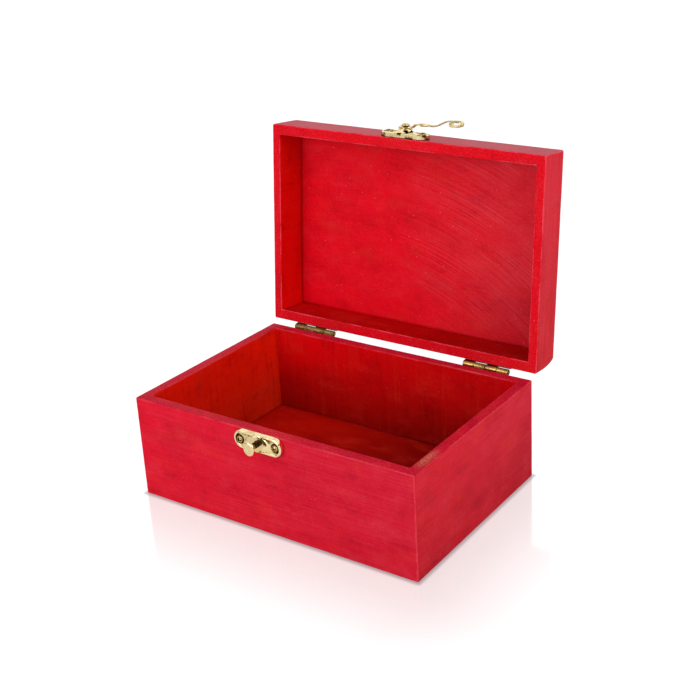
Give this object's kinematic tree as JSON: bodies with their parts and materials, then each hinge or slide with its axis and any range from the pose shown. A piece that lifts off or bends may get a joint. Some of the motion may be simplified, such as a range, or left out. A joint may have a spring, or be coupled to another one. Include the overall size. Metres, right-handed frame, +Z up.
{
  "type": "pooja box",
  "caption": "Small red-stained wooden box with a hinged lid standing open, rolled brass hinges and a brass swing hook latch.",
  "frame": {"origin": "centre of the underside, on the bottom face of the floor panel", "axes": "+Z up, -Y towards the latch side, +X to the right of someone facing the latch; the lid stands open at the back"},
  "size_m": [0.1818, 0.1681, 0.1938],
  "materials": {
    "box_wood": "red stain and thin varnish over close grain, satin",
    "floor_wood": "dark red stain, satin",
    "lid_wood": "bright red stain with brush streaks, satin",
    "bright_brass": "pale polished brass plate",
    "dull_brass": "aged brass plate"
  },
  "bodies": {
    "box": {"front_board": "box_wood", "back_board": "box_wood", "left_board": "box_wood", "right_board": "box_wood", "floor_panel": "floor_wood", "box_hinge_leaf_left": "dull_brass", "box_hinge_leaf_right": "bright_brass", "hinge_pin_left": "dull_brass", "hinge_pin_right": "dull_brass", "box_hinge_nail_1": "dull_brass", "box_hinge_nail_2": "dull_brass", "box_hinge_nail_3": "dull_brass", "box_hinge_nail_4": "dull_brass", "catch_plate": "bright_brass", "catch_knob": "bright_brass", "catch_screw_left": "dull_brass", "catch_screw_right": "dull_brass"},
    "lid": {"lid_front_rail": "lid_wood", "lid_back_rail": "lid_wood", "lid_left_rail": "lid_wood", "lid_right_rail": "lid_wood", "lid_panel": "lid_wood", "lid_hinge_leaf_left": "dull_brass", "lid_hinge_leaf_right": "bright_brass", "lid_hinge_nail_1": "dull_brass", "lid_hinge_nail_2": "dull_brass", "lid_hinge_nail_3": "dull_brass", "lid_hinge_nail_4": "dull_brass", "latch_plate": "bright_brass", "latch_screw_left": "dull_brass", "latch_screw_right": "dull_brass", "latch_washer": "bright_brass", "latch_rivet": "dull_brass"},
    "hook": {"latch_hook": "bright_brass"}
  },
  "joints": [
    {"name": "lid_hinge", "type": "hinge", "parent": "box", "child": "lid", "pos_m": [0, 0.0629, 0.05915], "axis": [1, 0, 0], "range_deg": [0, 95.7]},
    {"name": "hook_pivot", "type": "hinge", "parent": "lid", "child": "hook", "pos_m": [0.0002, 0.08048, 0.18141], "axis": [0, -0.0993, -0.9951], "range_deg": [-180, 107.1]}
  ]
}
